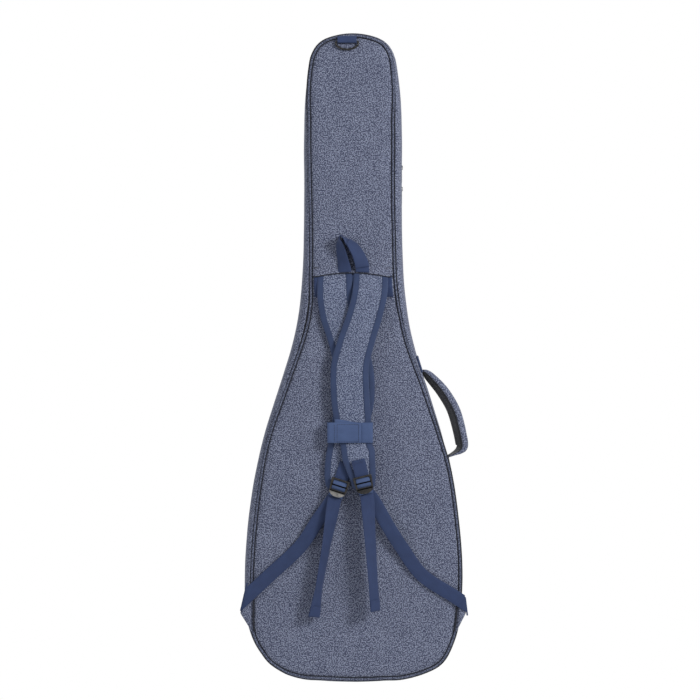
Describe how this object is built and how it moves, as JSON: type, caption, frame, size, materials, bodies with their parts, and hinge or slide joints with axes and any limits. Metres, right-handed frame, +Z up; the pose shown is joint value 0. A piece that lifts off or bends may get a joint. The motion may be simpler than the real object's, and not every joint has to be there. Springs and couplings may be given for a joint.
{
  "type": "padded bass guitar gig bag",
  "caption": "Padded fabric gig bag for a bass guitar, with folded shoulder straps, a grab loop, a carry handle and zipped pockets.",
  "frame": {"origin": "inside of the grab loop's crown, where a hook or hand holds the hanging bag", "axes": "+Z up along the bag, +Y from the strap side towards the lid, +X towards the carry handle"},
  "size_m": [0.4213, 0.1486, 1.2045],
  "materials": {
    "cover_fabric": "matte",
    "webbing": "matte",
    "binding_tape": "matte",
    "piping": "matte",
    "foam": "matte",
    "lining": "matte",
    "soft_black_cloth": "matte",
    "zipper_tape": "matte",
    "dark_metal": "satin"
  },
  "bodies": {
    "shell": {"back_panel_upper": "cover_fabric", "back_panel_lower": "cover_fabric", "back_foam": "foam", "back_lining": "lining", "back_piping": "piping", "gusset": "cover_fabric", "gusset_foam": "foam", "gusset_lining": "lining", "zipper_rear_half": "zipper_tape", "hinge_fabric": "cover_fabric", "strap_anchor_band": "webbing", "grab_loop": "webbing", "ring_tab": "webbing", "corner_tab_left": "cover_fabric", "corner_tab_right": "cover_fabric", "handle_patch_upper": "webbing", "handle_patch_lower": "webbing", "carry_handle": "cover_fabric", "handle_lining": "soft_black_cloth", "left_lower_webbing": "webbing", "right_lower_webbing": "webbing", "neck_cradle": "foam", "neck_strap": "soft_black_cloth", "end_block": "foam"},
    "ring": {"d_ring": "dark_metal"},
    "left_strap": {"left_pad": "cover_fabric", "left_pad_binding": "binding_tape", "left_ladder_lock": "dark_metal", "left_lock_tab": "webbing", "left_webbing_turn": "webbing", "keeper_band": "webbing"},
    "right_strap": {"right_pad": "cover_fabric", "right_pad_binding": "binding_tape", "right_ladder_lock": "dark_metal", "right_lock_tab": "webbing", "right_webbing_turn": "webbing"},
    "left_tail": {"left_strap_tail": "webbing"},
    "right_tail": {"right_strap_tail": "webbing"},
    "flap": {"keeper_flap": "webbing"},
    "lid": {"front_panel": "cover_fabric", "front_foam": "foam", "front_lining": "lining", "front_piping": "piping", "lid_gusset": "cover_fabric", "lid_gusset_foam": "foam", "zipper_front_half": "zipper_tape", "large_pocket": "cover_fabric", "small_pocket": "cover_fabric", "large_pocket_zipper": "zipper_tape", "small_pocket_zipper": "zipper_tape"},
    "upper_main_slider_body": {"upper_main_slider": "dark_metal"},
    "upper_main_pull_body": {"upper_main_pull": "dark_metal"},
    "lower_main_slider_body": {"lower_main_slider": "dark_metal"},
    "lower_main_pull_body": {"lower_main_pull": "dark_metal"},
    "large_pocket_slider_body": {"large_pocket_slider": "dark_metal"},
    "large_pocket_pull_body": {"large_pocket_pull": "dark_metal"},
    "small_pocket_slider_body": {"small_pocket_slider": "dark_metal"},
    "small_pocket_pull_body": {"small_pocket_pull": "dark_metal"}
  },
  "joints": [
    {"name": "lid_hinge", "type": "hinge", "parent": "shell", "child": "lid", "pos_m": [-0.1813, 0.082, -0.54625], "axis": [0, 0, 1], "range_deg": [0, 160]},
    {"name": "left_strap_swing", "type": "hinge", "parent": "shell", "child": "left_strap", "pos_m": [0.02, 0.012, -0.06925], "axis": [-1, 0, 0], "range_deg": [0, 22], "deforming": ["left_lower_webbing"]},
    {"name": "right_strap_swing", "type": "hinge", "parent": "shell", "child": "right_strap", "pos_m": [0.02, 0.012, -0.06925], "axis": [-1, 0, 0], "range_deg": [0, 22], "deforming": ["right_lower_webbing"]},
    {"name": "left_tail_swing", "type": "hinge", "parent": "left_strap", "child": "left_tail", "pos_m": [-0.01226, -0.00075, -0.47479], "axis": [-0.9521, 0, 0.3057], "range_deg": [0, 60]},
    {"name": "right_tail_swing", "type": "hinge", "parent": "right_strap", "child": "right_tail", "pos_m": [0.0441, -0.01395, -0.46823], "axis": [-0.972, 0, -0.2351], "range_deg": [0, 60]},
    {"name": "keeper_flap_hinge", "type": "hinge", "parent": "left_strap", "child": "flap", "pos_m": [-0.0271, -0.0096, -0.35625], "axis": [0, 0, -1], "range_deg": [0, 150]},
    {"name": "ring_swing", "type": "hinge", "parent": "shell", "child": "ring", "pos_m": [0.009, 0.0099, 0.35875], "axis": [-1, 0, 0], "range_deg": [0, 140]},
    {"name": "upper_main_slide", "type": "slide", "parent": "shell", "child": "upper_main_slider_body", "axis": [0, 0, 1], "range_m": [0, 0.05]},
    {"name": "upper_main_pull_swing", "type": "hinge", "parent": "upper_main_slider_body", "child": "upper_main_pull_body", "pos_m": [0.1109, 0.082, 0.13575], "axis": [0, -1, 0], "range_deg": [0, 150]},
    {"name": "lower_main_slide", "type": "slide", "parent": "shell", "child": "lower_main_slider_body", "axis": [0, 0, -1], "range_m": [0, 0.05]},
    {"name": "lower_main_pull_swing", "type": "hinge", "parent": "lower_main_slider_body", "child": "lower_main_pull_body", "pos_m": [0.1109, 0.082, 0.09575], "axis": [0, -1, 0], "range_deg": [0, 150]},
    {"name": "large_pocket_slide", "type": "slide", "parent": "lid", "child": "large_pocket_slider_body", "axis": [-1, 0, 0], "range_m": [0, 0.16]},
    {"name": "large_pocket_pull_swing", "type": "hinge", "parent": "large_pocket_slider_body", "child": "large_pocket_pull_body", "pos_m": [0.101, 0.1178, -0.30965], "axis": [0, 1, 0], "range_deg": [0, 150]},
    {"name": "small_pocket_slide", "type": "slide", "parent": "lid", "child": "small_pocket_slider_body", "axis": [-1, 0, 0], "range_m": [0, 0.06]},
    {"name": "small_pocket_pull_swing", "type": "hinge", "parent": "small_pocket_slider_body", "child": "small_pocket_pull_body", "pos_m": [0.054, 0.1128, 0.09035], "axis": [0, 1, 0], "range_deg": [0, 150]}
  ],
  "couplings": [
    {"joint": "right_strap_swing", "follows": "left_strap_swing", "ratio": 1}
  ]
}
